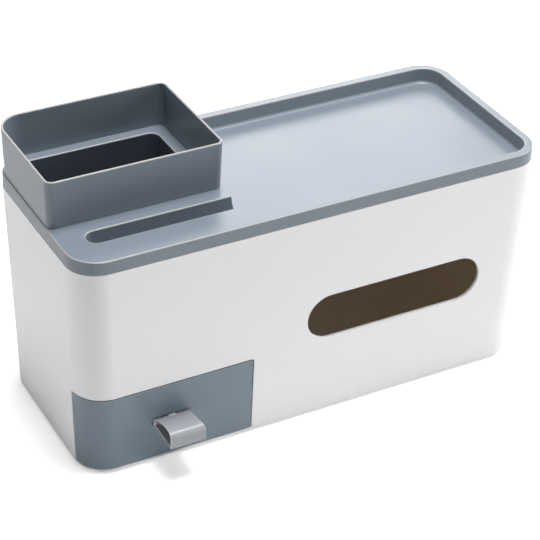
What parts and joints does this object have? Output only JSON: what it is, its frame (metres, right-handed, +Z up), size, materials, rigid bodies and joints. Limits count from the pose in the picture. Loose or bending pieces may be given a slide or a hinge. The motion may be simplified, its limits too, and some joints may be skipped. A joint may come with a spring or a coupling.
{
  "type": "tissue box",
  "caption": "Desk tissue box: tapering housing with an oval tissue slot and a corner drawer, lift-off lid with a pen cup, a phone groove and a shallow tray.",
  "frame": {"origin": "centre of the housing's footprint, on the plane that the feet stand on", "axes": "+X along the long side towards the tissue slot, away from the drawer; +Y towards the back; +Z up; the drawer opens along -Y"},
  "size_m": [0.2604, 0.1266, 0.155],
  "materials": {
    "white_plastic": "satin",
    "grey_plastic": "satin",
    "drawer_plastic": "satin",
    "soft_pull": "satin",
    "foot_pad": "matte"
  },
  "bodies": {
    "base": {"housing": "white_plastic", "drawer_bay": "white_plastic", "foot_front_left": "foot_pad", "foot_front_right": "foot_pad", "foot_back_left": "foot_pad", "foot_back_right": "foot_pad"},
    "drawer": {"drawer": "drawer_plastic", "drawer_pull": "soft_pull"},
    "lid": {"lid": "grey_plastic"}
  },
  "joints": [
    {"name": "drawer_slide", "type": "slide", "parent": "base", "child": "drawer", "axis": [0, -1, 0], "range_m": [0, 0.078]},
    {"name": "lid_lift", "type": "slide", "parent": "base", "child": "lid", "axis": [0, 0, 1], "range_m": [0, 0.09]}
  ]
}
